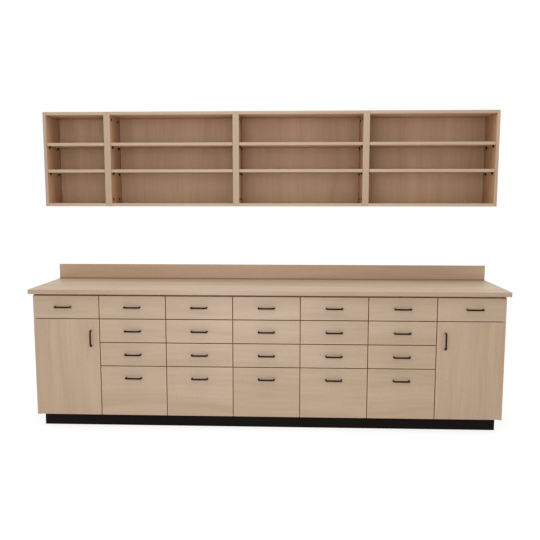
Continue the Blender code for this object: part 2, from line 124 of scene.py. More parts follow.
class Finish(Nodes):
    """A material in the making, around one Principled shader."""

    def __init__(self, name, constants):
        self.material = bpy.data.materials.new(name)
        self.material.use_nodes = True
        super().__init__(self.material.node_tree)
        self.shader = self.tree.nodes["Principled BSDF"]
        self.feed(self.shader, constants)

    def mix(self, factor, first, second):
        """Blend two colours, which a Math node would turn grey."""
        sockets = {MIX_FACTOR: factor, MIX_FIRST: first, MIX_SECOND: second}
        return self.node("ShaderNodeMix", {"data_type": 'RGBA'}, sockets, MIX_COLOUR)

    def step(self, value, low, high):
        """Rise softly from 0 to 1 as the value goes from low to high."""
        sockets = {"Value": value, "From Min": low, "From Max": high}
        return self.node("ShaderNodeMapRange", {"interpolation_type": 'SMOOTHSTEP'}, sockets)

    def bump(self, height, depth):
        """Normals of a relief of that depth in metres."""
        sockets = {"Height": height, "Distance": depth, "Strength": 1.0}
        return self.node("ShaderNodeBump", None, sockets)


print("shader helpers ready")

# %% [markdown]
# ## Maple laminate
#
# Fronts, worktop, cases and shelves are board faced with a printed maple grain: broad soft bands,
# narrow streaks inside them, fine fibres and a scatter of short dark flecks. A picture of wood would
# be quick but repeats, and it can't be turned for each board. So every board carries a map called
# grain, in metres, with u along the grain and v across it, and the print is noise stretched along u.
# One function then serves every wood finish. Each board starts at its own place in that endless
# sheet, so no two look alike.

# %% Noise along the grain
GRAIN = "grain"
SWAY = (1.5, 4.0, 1.0)
BAND = (0.8, 11.0, 2.0)
STREAK = (2.4, 48.0, 3.0)
FIBRE = (18.0, 560.0, 2.0)
FLECK = (60.0, 900.0, 0.0)


def stretched_noise(finish, place, layer):
    """Noise of a layer: its features to the metre along and across the grain, and its detail."""
    along, across, detail = layer
    stretch = {0: place, 1: (along, across, 1.0)}
    scaled = finish.node("ShaderNodeVectorMath", {"operation": 'MULTIPLY'}, stretch)
    sockets = {"Vector": scaled, "Scale": 1.0, "Detail": detail}
    return finish.node("ShaderNodeTexNoise", {"noise_dimensions": '2D'}, sockets)


print("features to the metre across the grain:", BAND[1], STREAK[1], FIBRE[1], FLECK[1])

# %% The laminate
SHEET_IOR = 1.46
MEAN = 0.5
SWAY_REACH = 0.07
BAND_SHARE, STREAK_SHARE, FIBRE_SHARE = 1.3, 0.6, 0.45
FLECK_FROM, FLECK_TO = 0.66, 0.80
FLECK_TONE, FLECK_SHARE, FLECK_DEPTH = 0.55, 0.28, 0.5
FIBRE_GLOSS = 0.16
GRAIN_DEPTH = 0.00012


def laminate(name, pale, dark, rough, strength=1.0):
    """Printed wood grain between a pale and a dark tone under a satin surface."""
    finish = Finish(name, {"IOR": SHEET_IOR})
    flat = finish.node("ShaderNodeUVMap", {"uv_map": GRAIN})
    sway = stretched_noise(finish, flat, SWAY) * SWAY_REACH
    shift = finish.node("ShaderNodeCombineXYZ", None, {"Y": sway})
    place = finish.node("ShaderNodeVectorMath", {"operation": 'ADD'}, {0: flat, 1: shift})
    band = stretched_noise(finish, place, BAND)
    streak = stretched_noise(finish, place, STREAK)
    fibre = stretched_noise(finish, place, FIBRE)
    fleck = finish.step(stretched_noise(finish, place, FLECK), FLECK_FROM, FLECK_TO)
    tone = (band - MEAN) * (BAND_SHARE * strength) + (streak - MEAN) * (STREAK_SHARE * strength)
    tone = tone + (fibre - MEAN) * (FIBRE_SHARE * strength) + MEAN
    print_colour = finish.mix(tone, (*dark, 1.0), (*pale, 1.0))
    fleck_colour = [FLECK_TONE * part for part in dark]
    colour = finish.mix(fleck * (FLECK_SHARE * strength), print_colour, (*fleck_colour, 1.0))
    roughness = (fibre - MEAN) * FIBRE_GLOSS + rough
    relief = finish.bump(fibre - fleck * FLECK_DEPTH, GRAIN_DEPTH)
    finish.feed(finish.shader, {"Base Color": colour, "Roughness": roughness, "Normal": relief})
    return finish


print("laminate function ready")

# %% [markdown]
# The same maple is used in several tones, some because sheets come from different runs and some as painted
# light. The doors have a sheet of their own, a little browner than the drawer fronts, and the rim of every
# front is paler as a painted highlight of its eased edge. The worktop has a tougher, slightly smoother
# sheet and a strip of its own along the edge. The sides of the wall boxes are darker as painted shade
# inside the boxes, and the edge bands are thin plastic strips with a quieter print; the upright bands are
# darker as painted shade, and the bands of the fronts darker and browner as painted shade in the gaps. The
# drawer boxes are pale birch-faced board. Undersides and backs that nobody sees carry a plain brown
# balancing sheet, made by the same function with almost no figure.

# %% The wood finishes
front_maple = laminate("maple_fronts", (0.620, 0.460, 0.327), (0.492, 0.348, 0.226), 0.44)
door_maple = laminate("maple_doors", (0.616, 0.449, 0.313), (0.489, 0.339, 0.217), 0.44)
# Painted highlight: the rim of each front is paler and stands in for the light that its eased edge catches.
front_rim_painted_highlight = laminate("maple_front_rim", (0.672, 0.503, 0.363), (0.536, 0.383, 0.253), 0.44)
# Painted shade: the edge bands of the fronts are darker and browner and stand in for the shade in the gaps
# between the fronts.
front_band_painted_shade = laminate("maple_front_band", (0.524, 0.352, 0.223), (0.459, 0.296, 0.180), 0.50, 0.7)
case_maple = laminate("maple_cases", (0.713, 0.489, 0.324), (0.567, 0.364, 0.218), 0.54)
# Painted shade: the box sides are a darker tone that stands in for the shade inside the wall boxes.
side_maple_painted_shade = laminate("maple_box_sides_painted_shade", (0.632, 0.407, 0.253), (0.503, 0.302, 0.170), 0.58)
back_maple = laminate("maple_box_backs", (0.706, 0.499, 0.338), (0.562, 0.371, 0.228), 0.68)
top_maple = laminate("maple_worktop", (0.693, 0.521, 0.371), (0.547, 0.392, 0.258), 0.42)
top_band = laminate("maple_worktop_band", (0.588, 0.431, 0.302), (0.465, 0.324, 0.210), 0.42)
splash_maple = laminate("maple_splash", (0.641, 0.463, 0.322), (0.507, 0.348, 0.224), 0.54)
band_maple = laminate("maple_edge_band", (0.607, 0.451, 0.320), (0.545, 0.400, 0.278), 0.48, 0.7)
# Painted shade: the upright bands are darker than the level bands, which catch the light from above.
upright_band_painted_shade = laminate("maple_upright_band", (0.563, 0.408, 0.281), (0.506, 0.361, 0.245), 0.48, 0.7)
birch = laminate("birch_drawer_boxes", (0.640, 0.520, 0.380), (0.540, 0.420, 0.290), 0.55, 0.8)
backer = laminate("brown_backer", (0.300, 0.205, 0.130), (0.255, 0.170, 0.105), 0.70, 0.4)
print("wood finishes:", ", ".join(made.material.name for made in (front_maple, case_maple, top_maple)))

# %% [markdown]
# ## Black board, black wire, slide parts and raw edges
#
# These have no grain that shows from a step away. What tells them apart is the surface: the plinth is
# a dull laminate with faint scuffs, the pulls have a powder coat with a fine orange peel, the slides a
# cream stoved coat, the rollers are nylon, and screws and pins are zinc. The brown core of the laminate
# sheet, which also paints shade into the gaps between the fronts, the raw edge of a board and a brown bead
# of painted shade at the foot of the splash are plain too. All of them are noise on the piece's own
# coordinates, so one function makes them from a tone, a grain size and a depth.

# %% Coated and moulded surfaces
BROAD_SCALE = 0.08
FINE_DETAIL, BROAD_DETAIL = 2.0, 3.0
FINE_GLOSS, BROAD_GLOSS = 0.1, 0.2


def coated(name, colour, variation, rough, size, depth, metallic=0.0, specular=0.5):
    """An even coat: noise of that size in metres varies its tone and gloss and gives it a relief."""
    finish = Finish(name, {"Metallic": metallic, "Specular IOR Level": specular})
    place = finish.node("ShaderNodeTexCoord", output="Object")
    sockets = {"Vector": place, "Scale": 1.0 / size, "Detail": FINE_DETAIL}
    fine = finish.node("ShaderNodeTexNoise", None, sockets)
    sockets = {"Vector": place, "Scale": BROAD_SCALE / size, "Detail": BROAD_DETAIL}
    broad = finish.node("ShaderNodeTexNoise", None, sockets)
    worn = [min(1.0, part * (1.0 + variation)) for part in colour]
    tint = finish.mix(broad, (*colour, 1.0), (*worn, 1.0))
    roughness = (broad - MEAN) * BROAD_GLOSS + (fine - MEAN) * FINE_GLOSS + rough
    sockets = {"Base Color": tint, "Roughness": roughness, "Normal": finish.bump(fine, depth)}
    finish.feed(finish.shader, sockets)
    return finish


BLACK = (0.0070, 0.0050, 0.0040)
BRONZE_BLACK = (0.0180, 0.0100, 0.0062)
black_board = coated("black_plinth_laminate", BLACK, 0.4, 0.62, 0.0015, 0.00008, specular=0.07)
black_wire = coated("bronze_black_coat", BRONZE_BLACK, 0.4, 0.48, 0.0009, 0.00004, specular=0.06)
cream_steel = coated("cream_stoved_steel", (0.62, 0.57, 0.47), 0.08, 0.38, 0.0010, 0.00002)
nylon = coated("white_nylon", (0.66, 0.65, 0.61), 0.06, 0.48, 0.0012, 0.00002)
zinc = coated("zinc_plate", (0.56, 0.55, 0.52), 0.15, 0.34, 0.0010, 0.00002, metallic=1.0)
dark_steel = coated("black_oxide_steel", BLACK, 0.4, 0.60, 0.0008, 0.00002, specular=0.03)
# Partly the sheet's core, partly painted shade: this brown lines the eased edges of the fronts and deepens
# the gaps between them.
brown_core_and_gap_shade = coated("brown_sheet_core_and_gap_shade", (0.393, 0.193, 0.095), 0.12, 0.60, 0.0006, 0.00002)
raw_core = coated("raw_board_core", (0.560, 0.280, 0.130), 0.15, 0.75, 0.0012, 0.00010)
# Painted shade: a brown bead that stands in for the shade in the joint under the splash.
painted_shade_bead = coated("painted_joint_shade", (0.310, 0.180, 0.104), 0.10, 0.55, 0.0040, 0.00020)
print("coated finishes:", black_board.material.name, black_wire.material.name, cream_steel.material.name)

# %% [markdown]
# ## Boards, bars and turned pieces
#
# The cabinet is boards, bent strips and a few round pieces. A board is a cube with all its edges
# broken by a small bevel, because a perfectly sharp edge never catches the light and looks drawn. A
# bar is an outline pushed along an axis, and rollers, screws and pins are profiles spun around one.

# %% Shapes
EASE = 0.0006
EASE_STEPS = 2
ROUND_PROFILE = 0.5
ROUND_STEPS = 24
ARC_STEPS = 8
QUARTER = math.pi / 2
WELD = 1e-6


def eased(part, edges, ease, steps):
    """Round edges of a part off in a few steps."""
    rounding = {"offset": ease, "segments": steps, "profile": ROUND_PROFILE, "affect": 'EDGES'}
    bmesh.ops.bevel(part, geom=edges, **rounding)
    return part


def arc(centre_x, centre_y, radius, start):
    """Points of a quarter turn around a centre."""
    turns = [start + QUARTER * count / ARC_STEPS for count in range(ARC_STEPS + 1)]
    return [(centre_x + radius * math.cos(turn), centre_y + radius * math.sin(turn)) for turn in turns]


def board(low, high, ease=EASE, steps=EASE_STEPS):
    """A box from corner to corner with all its edges eased."""
    part = bmesh.new()
    low, high = Vector(low), Vector(high)
    size = Matrix.Diagonal(high - low).to_4x4()
    bmesh.ops.create_cube(part, size=1.0, matrix=Matrix.Translation((low + high) / 2) @ size)
    return eased(part, part.edges[:], ease, steps)


def bar(outline, axis, start, end):
    """Push an outline along an axis; its pairs are the other two axes in order."""
    part = bmesh.new()
    first, second = (other for other in (X, Y, Z) if other != axis)
    rings = []
    for place in (start, end):
        ring = []
        for pair in outline:
            point = [0.0, 0.0, 0.0]
            point[axis], point[first], point[second] = place, *pair
            ring.append(part.verts.new(point))
        rings.append(ring)
        part.faces.new(ring)
    for here in range(len(outline)):
        after = (here + 1) % len(outline)
        part.faces.new((rings[0][here], rings[0][after], rings[1][after], rings[1][here]))
    return part


def turned(profile, centre, direction=1.0):
    """Spin pairs of place along X and radius around a line along X."""
    part = bmesh.new()
    points = [part.verts.new((direction * along, radius, 0.0)) for along, radius in profile]
    edges = [part.edges.new(pair) for pair in zip(points, points[1:])]
    spin = {"axis": (1.0, 0.0, 0.0), "cent": (0.0, 0.0, 0.0), "angle": math.tau, "steps": ROUND_STEPS}
    bmesh.ops.spin(part, geom=points + edges, use_merge=True, **spin)
    bmesh.ops.remove_doubles(part, verts=part.verts, dist=WELD)
    part.transform(Matrix.Translation(centre))
    return part


print("shapes ready: board, bar, turned")

# %% [markdown]
# A piece gathers such parts in one mesh, gives each its finish and lays its grain map. It could ask for
# a finish face by face, but boards follow one rule: the broad faces have the sheet and the narrow ones
# the edge band. Three exceptions are enough for this cabinet: faces that look out into the room, slanting
# faces on eased edges, and a rim that was marked off before.

# %% Pieces
SHARP_ANGLE = math.radians(40.0)
SLANT = math.cos(math.radians(20.0))
SHEET_REACH = 40.0
SHEET_SEED = 11
sheet_place = random.Random(SHEET_SEED)


def placed(name, data):
    """A new object in the scene."""
    thing = bpy.data.objects.new(name, data)
    bpy.context.scene.collection.objects.link(thing)
    return thing


class Piece:
    """A visible piece: parts in one mesh, each with its finish and grain."""

    def __init__(self, name):
        self.name = name
        self.finishes = []
        self.mesh = bmesh.new()
        self.mesh.loops.layers.uv.new(GRAIN)

    def index(self, finish):
        if finish not in self.finishes:
            self.finishes.append(finish)
        return self.finishes.index(finish)

    def add(self, part, finish, grain=X, edge=None, smooth=False, outside=None, slant=None, rim=()):
        """Take over a part; outside is an axis and a sign whose faces get the laminate of the fronts."""
        bmesh.ops.recalc_face_normals(part, faces=part.faces)
        chart = part.loops.layers.uv.new(GRAIN)
        start = [sheet_place.uniform(0.0, SHEET_REACH) for _ in range(2)]
        size = []
        for axis in (X, Y, Z):
            places = [point.co[axis] for point in part.verts]
            size.append(max(places) - min(places))
        thin = size.index(min(size))
        for face in part.faces:
            facing = max((X, Y, Z), key=lambda axis: abs(face.normal[axis]))
            flat = [axis for axis in (X, Y, Z) if axis != facing]
            flat.sort(key=lambda axis: (axis != grain, -size[axis]))
            chosen = edge if edge and facing != thin else finish
            if outside and facing == outside[0] and face.normal[facing] * outside[1] > 0:
                chosen = front_maple
            # On the fronts the slant finish is the brown core, which also paints shade into the gaps.
            if slant and abs(face.normal[facing]) < SLANT:
                chosen = slant
            # The rim gets a paler tone, a painted highlight of the eased edge.
            if face in rim:
                chosen = front_rim_painted_highlight
            face.material_index = self.index(chosen)
            face.smooth = smooth
            for corner in face.loops:
                corner[chart].uv = [begin + corner.vert.co[axis] for begin, axis in zip(start, flat)]
        carrier = bpy.data.meshes.new("part")
        part.to_mesh(carrier)
        part.free()
        self.mesh.from_mesh(carrier)
        bpy.data.meshes.remove(carrier)

    def fit(self, body, nodes):
        """Link the piece, set it on its body and let it stand for CAD nodes."""
        mesh = bpy.data.meshes.new(self.name)
        self.mesh.to_mesh(mesh)
        self.mesh.free()
        mesh.set_sharp_from_angle(angle=SHARP_ANGLE)
        for finish in self.finishes:
            mesh.materials.append(finish.material)
        thing = placed(self.name, mesh)
        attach(thing, body)
        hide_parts(*nodes)


print("pieces start at places up to", SHEET_REACH, "m along the sheet")

# %% [markdown]
# ## Places read from the frame
#
# A few planes are shared by everything: the face of the fronts, the back of the fronts, the front of
# the case boards and the wall. They are measured once here. Board thicknesses are those of the real
# sheets, and the names of the drawers give the columns and rows.

# %% Shared planes
MM = 1000
BOARD = 0.019
HAIR = 0.0003
FACE_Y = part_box("door_left")[0].y
WALL_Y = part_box("base_end_left")[1].y
FRONT_BACK_Y = FACE_Y + BOARD
CASE_FRONT_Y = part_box("base_bottom")[0].y


def nodes_named(start):
    return [name for name in frame["nodes"] if name.startswith(start)]


DRAWERS = sorted(nodes_named("drawer_"))
PARTITIONS = sorted(nodes_named("base_partition_"))
print("drawers:", len(DRAWERS), "partitions:", len(PARTITIONS), "face at", round(FACE_Y, 4))

# %% [markdown]
# ## Plinth
#
# The base run stands on a set-back frame of black boards. The CAD boards are already right, but they
# have razor edges, so each one is made again with broken edges. The black finish has no grain, and
# its scuffs come from the piece's own coordinates.

# %% Make the plinth boards
PLINTH = nodes_named("plinth_")
for name in PLINTH:
    piece = Piece(name + "_board")
    piece.add(board(*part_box(name)), black_board)
    piece.fit(CABINET, [name])
print("plinth boards:", len(PLINTH))

# %% [markdown]
# ## Roller slides
#
# Each drawer runs in a pair of roller slides. The cabinet half is a steel strip folded to a channel,
# screwed to the case board, with a nylon roller on a rivet at its mouth. The drawer half is an angle on
# the side of the box with a roller at its back end. The channel could be two boxes, but its open side is
# what one sees when a drawer is out, so it is a true section pushed along Y. The heights follow from the
# roller: it runs on the channel's floor, and the angle runs on the roller in front.

# %% Heights and places of the slides
BOX_LIFT = 0.028
SLIDE_SPACE = 0.0125
SLIDE_PLAY = 0.0025
STEEL = 0.0015
ROLLER = 0.008
ROLLER_MARGIN = 0.003
CHANNEL_RISE = 0.0015
ANGLE_STEEL = 0.0012
FLANGE_STEEL = 0.002
ANGLE_HEIGHT = 0.014
ROLLER_RISE = CHANNEL_RISE + STEEL + HAIR + ROLLER
FLANGE_RISE = ROLLER_RISE + ROLLER + HAIR
CHANNEL_TOP = FLANGE_RISE + FLANGE_STEEL + HAIR + STEEL
BOX_BACK_Y = max(point.co.y for point in frame["nodes"][DRAWERS[0]].data.vertices)
FRONT_ROLLER_Y = CASE_FRONT_Y + ROLLER_MARGIN + ROLLER
CHANNEL_Y = FRONT_ROLLER_Y + ROLLER + ROLLER_MARGIN
REAR_ROLLER_Y = BOX_BACK_Y - ROLLER_MARGIN - ROLLER
ANGLE_END_Y = REAR_ROLLER_Y - ROLLER - ROLLER_MARGIN
print("slides from", round(CHANNEL_Y, 4), "to", round(BOX_BACK_Y, 4))

# %% Rollers, screws and the cabinet half
ROLLER_RIM = 0.001
HUB, HUB_FLOOR = 0.0045, 0.004
RIVET, RIVET_SHOULDER, RIVET_CROWN = 0.003, 0.0026, 0.0014
RIVET_DOME = 0.0005
SCREW_PROFILE = [(-HAIR, 0.0), (-HAIR, 0.0032), (0.0007, 0.003), (0.0011, 0.002), (0.0012, 0.0)]
SCREW_SHARES = (0.1, 0.5, 0.9)


def add_roller(piece, length, centre, outward):
    """A nylon wheel with a rounded rim, and a domed rivet in its sunk hub."""
    sunk = length - ROLLER_RIM
    wheel = [(0.0, 0.0), (0.0, ROLLER - ROLLER_RIM), (ROLLER_RIM, ROLLER), (sunk, ROLLER)]
    wheel += [(length, ROLLER - ROLLER_RIM), (length, HUB), (sunk, HUB_FLOOR), (sunk, 0.0)]
    seat = sunk - HAIR
    rivet = [(seat, 0.0), (seat, RIVET), (length - RIVET_DOME, RIVET_SHOULDER)]
    rivet += [(length, RIVET_CROWN), (length, 0.0)]
    piece.add(turned(wheel, centre, outward), nylon, smooth=True)
    piece.add(turned(rivet, centre, outward), zinc, smooth=True)


def add_cabinet_slide(piece, face, inward, underside):
    """Channel, front roller and three screws on one face of a case board."""
    lip = face + inward * (SLIDE_SPACE - SLIDE_PLAY)
    web = face + inward * STEEL
    low, high = underside + CHANNEL_RISE, underside + CHANNEL_TOP
    outline = [(face, low), (lip, low), (lip, low + STEEL), (web, low + STEEL)]
    outline += [(web, high - STEEL), (lip, high - STEEL), (lip, high), (face, high)]
    piece.add(bar(outline, Y, CHANNEL_Y, BOX_BACK_Y), cream_steel)
    centre = (face, FRONT_ROLLER_Y, underside + ROLLER_RISE)
    add_roller(piece, SLIDE_SPACE - SLIDE_PLAY, centre, inward)
    for share in SCREW_SHARES:
        y = CHANNEL_Y + share * (BOX_BACK_Y - CHANNEL_Y)
        head = turned(SCREW_PROFILE, (web, y, (low + high) / 2), inward)
        piece.add(head, zinc, smooth=True)


def column_of(name):
    return int(name.split("_")[1])


def add_column_slides(piece, face, inward, column):
    """Cabinet slides of every drawer in a column, on one board face."""
    for name in DRAWERS:
        if column_of(name) == column:
            add_cabinet_slide(piece, face, inward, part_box(name)[0].z + BOX_LIFT)


COLUMNS = max(column_of(name) for name in DRAWERS)
print("slides for", COLUMNS, "columns, rollers of", round(2 * ROLLER * MM), "mm")

# %% [markdown]
# ## Base boards
#
# The base is two ends, six partitions, a bottom, a back and a set of rails. Ends and partitions carry
# the cabinet slides, and the ends also carry the pivots that the doors turn on: a plate let into the
# front edge and a pin. The boards are maple on their faces. Their edges were left as raw brown board,
# since fronts and worktop cover them. The grain runs up on upright boards and along the run on the others.

# %% Door pivots
PLATE_STEEL = 0.002
PLATE_INSET = 0.001
PLATE_TONGUE = 0.012
PIN_RADIUS = 0.003
PIN_LENGTH = 0.010
hinges = [joint for joint in frame["joints"] if joint["type"] == "hinge"]
door_axes = {hinge["child"]: Vector(hinge["pos_m"]) for hinge in hinges}


def upright(profile, axis):
    """A turned shape stood on end at a door's axis; the profile runs along Z."""
    part = turned(profile, (0.0, 0.0, 0.0))
    stand = Matrix.Rotation(-QUARTER, 4, 'Y')
    part.transform(Matrix.Translation((axis.x, axis.y, 0.0)) @ stand)
    bmesh.ops.recalc_face_normals(part, faces=part.faces)
    return part


def round_bar(start, end, radius):
    """Profile of a plain round bar."""
    return [(start, 0.0), (start, radius), (end, radius), (end, 0.0)]


def add_pivots(piece, door):
    """Plates and pins above and below a door, on the axis of its hinge."""
    axis = door_axes[door]
    side = math.copysign(1.0, axis.x)
    outer = side * (abs(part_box("base_bottom")[0].x) + BOARD) - side * (HAIR + PLATE_INSET)
    ends = sorted((outer - side * (BOARD - 2 * PLATE_INSET), outer))
    over = min(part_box(name)[0].z for name in (DRAWERS[0], DRAWERS[-1]))
    gap_top = (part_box(door)[1].z + over) / 2
    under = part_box("base_bottom")[0].z
    for plate_low, pin_start, pin_end in (
        (under, under + PLATE_STEEL, under + PLATE_STEEL + PIN_LENGTH),
        (gap_top - PLATE_STEEL / 2, gap_top - PLATE_STEEL / 2 - PIN_LENGTH, gap_top),
    ):
        plate_from = (ends[0], axis.y - PIN_RADIUS - PLATE_STEEL, plate_low)
        plate_to = (ends[1], CASE_FRONT_Y + PLATE_TONGUE, plate_low + PLATE_STEEL)
        piece.add(board(plate_from, plate_to, HAIR), zinc)
        piece.add(upright(round_bar(pin_start, pin_end, PIN_RADIUS), axis), zinc, smooth=True)


print("doors turn at", ", ".join(f"{door} x {axis.x:.4f}" for door, axis in door_axes.items()))

# %% Make the ends and partitions
ENDS = (("base_end_left", "door_left", 1), ("base_end_right", "door_right", COLUMNS))
for name, door, column in ENDS:
    low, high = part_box(name)
    side = math.copysign(1.0, door_axes[door].x)
    outer = high.x if side > 0 else low.x
    inner = outer - side * BOARD
    piece = Piece(name + "_board")
    left, right = sorted((outer, inner))
    panel = board((left, CASE_FRONT_Y, low.z), (right, high.y, high.z))
    piece.add(panel, case_maple, Z, raw_core, outside=(X, side))
    add_column_slides(piece, inner, -side, column)
    add_pivots(piece, door)
    piece.fit(CABINET, [name])
for number, name in enumerate(PARTITIONS, start=1):
    low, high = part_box(name)
    middle = (low.x + high.x) / 2
    left, right = middle - BOARD / 2, middle + BOARD / 2
    piece = Piece(name + "_board")
    piece.add(board((left, low.y, low.z), (right, high.y, high.z)), case_maple, Z, raw_core)
    add_column_slides(piece, left, -1.0, number)
    add_column_slides(piece, right, 1.0, number + 1)
    piece.fit(CABINET, [name])
print("ends:", len(ENDS), "partitions:", len(PARTITIONS))

# %% Make the level boards, rails and back
LEVEL_BOARDS = ["base_bottom", "base_front_rail", "base_rear_rail", "base_anchor_rail"]
LEVEL_BOARDS += ["base_divider_left", "base_divider_right"]
for name in LEVEL_BOARDS:
    piece = Piece(name + "_board")
    piece.add(board(*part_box(name)), case_maple, X, raw_core)
    piece.fit(CABINET, [name])
back_low, back_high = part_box("base_back")
back_middle = (back_low.y + back_high.y) / 2
piece = Piece("base_back_panel")
piece.add(board(back_low, (back_high.x, back_middle, back_high.z)), case_maple, Z)
piece.add(board((back_low.x, back_middle + HAIR, back_low.z), back_high), backer, Z)
piece.fit(CABINET, ["base_back"])
print("level boards:", len(LEVEL_BOARDS), "and a two-faced back panel")

# %% [markdown]
# ## Worktop and splash
#
# The worktop is one long slab with slightly rounded front corners, an eased top edge, a strip of laminate
# along its edge and a brown balancing sheet underneath. The splash is a second board along the wall, a
# little short of the worktop's ends. They could be one mesh, but then the thin dark line where the two
# meet would be missing. So the splash stops above the worktop, and a brown bead, set back a
# touch, fills the line as painted shade of the joint.

# %% Make the slab
CORNER_RADIUS = 0.008
TOP_EASE = 0.002
TOP_EASE_STEPS = 3
BACKER = 0.001
BACKER_SHARE = 0.9995
BACKER_INSET = 0.0005
top_low, top_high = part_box("worktop")
top_points = [point.co for point in frame["nodes"]["worktop"].data.vertices]
TOP_Z = max(point.z for point in top_points if point.y < FACE_Y)
corner_y = top_low.y + CORNER_RADIUS
front_curve = arc(top_low.x + CORNER_RADIUS, corner_y, CORNER_RADIUS, math.pi)
front_curve += arc(top_high.x - CORNER_RADIUS, corner_y, CORNER_RADIUS, 3 * QUARTER)
slab_outline = [(top_high.x, WALL_Y), (top_low.x, WALL_Y)] + front_curve
slab = bar(slab_outline, Z, top_low.z + BACKER, TOP_Z)


def on_rim(edge):
    """True for the top edges that aren't at the wall."""
    return all(v.co.z > TOP_Z - BACKER and v.co.y < WALL_Y - BACKER for v in edge.verts)


eased(slab, [edge for edge in slab.edges if on_rim(edge)], TOP_EASE, TOP_EASE_STEPS)
piece = Piece("worktop_slab")
piece.add(slab, top_maple, X, top_band)
backer_outline = [(x * BACKER_SHARE, y + BACKER_INSET) for x, y in front_curve]
backer_outline += [(top_high.x - EASE, WALL_Y - EASE), (top_low.x + EASE, WALL_Y - EASE)]
piece.add(bar(backer_outline, Z, top_low.z, top_low.z + BACKER), backer, X)
piece.fit(CABINET, ["worktop"])
print("worktop at", round(TOP_Z, 4))

# %% Make the splash
SPLASH = 0.019
SPLASH_EASE = 0.0015
SPLASH_STEPS = 3
BEAD = 0.0070
piece = Piece("worktop_splash")
splash_end = max(point.x for point in top_points if point.z > top_high.z - EASE)
splash_low = (-splash_end, WALL_Y - SPLASH, TOP_Z + BEAD)
splash_high = (splash_end, WALL_Y, top_high.z)
splash = board(splash_low, splash_high, SPLASH_EASE, SPLASH_STEPS)
piece.add(splash, splash_maple, X, splash_maple)
# The bead is painted shade along the foot of the splash.
bead_low = (-splash_end + EASE, WALL_Y - SPLASH + EASE, TOP_Z + HAIR)
bead_high = (splash_end - EASE, WALL_Y - EASE, TOP_Z + BEAD + EASE)
piece.add(board(bead_low, bead_high, HAIR), painted_shade_bead)
piece.fit(CABINET, ["worktop"])
print("splash up to", round(top_high.z, 4), "and out to", round(splash_end, 4))

# %% [markdown]
# ## Drawers
#
# A drawer is a front, a box behind it, a pair of slide angles with rollers and a wire pull. The fronts
# are what one sees, so each gets its own stretch of maple with the grain level. Its edges are banded and
# eased, and the bands are darker and browner as painted shade in the gaps. The easing cuts into the sheet,
# so a thin brown line of its core shows all round, also dark as painted shade in the gaps, and the rim
# beside it is paler as a painted highlight of the eased edge. That line could be painted, but as faces of
# the board it also shows from the side. The box is four birch-faced boards and a thin bottom. Keeping the
# front, box and angles as three pieces lets each have its own finish and lets someone swap a front for
# another.

# %% Fronts
FRONT_EASE = 0.0018
FRONT_STEPS = 4
FRONT_RIM = 0.004


def rim_of(part):
    """Mark off a narrow rim around the face that looks into the room."""
    part.normal_update()
    face = max(part.faces, key=lambda face: -face.normal.y * face.calc_area())
    ring = bmesh.ops.inset_region(part, faces=[face], thickness=FRONT_RIM, use_even_offset=True)
    return set(ring["faces"])


def add_front(piece, panel, finish, grain):
    """Banded panel: edge bands darker as painted shade, a brown core line along its eased edges that also
    deepens the gaps as painted shade, and a rim paler as a painted highlight.
    """
    rim = rim_of(panel)
    piece.add(panel, finish, grain, front_band_painted_shade, slant=brown_core_and_gap_shade, rim=rim)


def make_front(name, low, high):
    piece = Piece(name + "_front")
    add_front(piece, board(low, high, FRONT_EASE, FRONT_STEPS), front_maple, X)
    piece.fit(name, [name])


print("fronts eased by", round(FRONT_EASE * MM, 1), "mm with a rim of", round(FRONT_RIM * MM), "mm")

# %% Drawer boxes and angles
BOX_SIDE = 0.012
BOX_STEPS = 3
BOX_BOTTOM = 0.008
BOX_DROP = 0.022


def make_box(name, low, high):
    """Box sides between front and back, over a thin bottom."""
    piece = Piece(name + "_box")
    inner = (low.x + BOX_SIDE, high.x - BOX_SIDE)
    for left in (low.x, inner[1]):
        side = board((left, low.y, low.z), (left + BOX_SIDE, high.y, high.z), EASE, BOX_STEPS)
        piece.add(side, birch, Y)
    for front in (low.y, high.y - BOX_SIDE):
        end_low, end_high = (inner[0], front, low.z), (inner[1], front + BOX_SIDE, high.z)
        piece.add(board(end_low, end_high, EASE, BOX_STEPS), birch, X)
    floor_low = (inner[0], low.y + BOX_SIDE, low.z + HAIR)
    floor_high = (inner[1], high.y - BOX_SIDE, low.z + BOX_BOTTOM)
    piece.add(board(floor_low, floor_high), birch, X)
    piece.fit(name, [name])


def make_angles(name, low, high):
    """Steel angles along both box sides, each with a roller at its back end."""
    piece = Piece(name + "_angles")
    reach = SLIDE_SPACE - SLIDE_PLAY - STEEL
    flange = low.z + FLANGE_RISE
    flange_top, leg_top = flange + FLANGE_STEEL, flange + ANGLE_HEIGHT
    for face, outward in ((low.x, -1.0), (high.x, 1.0)):
        leg = face + outward * ANGLE_STEEL
        lip = face + outward * reach
        outline = [(face, flange), (lip, flange), (lip, flange_top), (leg, flange_top)]
        outline += [(leg, leg_top), (face, leg_top)]
        piece.add(bar(outline, Y, FRONT_BACK_Y, ANGLE_END_Y), cream_steel)
        add_roller(piece, reach, (face, REAR_ROLLER_Y, low.z + ROLLER_RISE), outward)
    piece.fit(name, [name])


print("drawer boxes of", round(BOX_SIDE * MM), "mm board")

# %% Make every drawer
def bay_faces(column):
    """Faces of the case boards to the left and right of a column."""
    middles = [(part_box(name)[0].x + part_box(name)[1].x) / 2 for name in PARTITIONS]
    inner_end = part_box("base_bottom")[1].x + HAIR
    left = -inner_end if column == 1 else middles[column - 2] + BOARD / 2
    right = inner_end if column == COLUMNS else middles[column - 1] - BOARD / 2
    return left, right


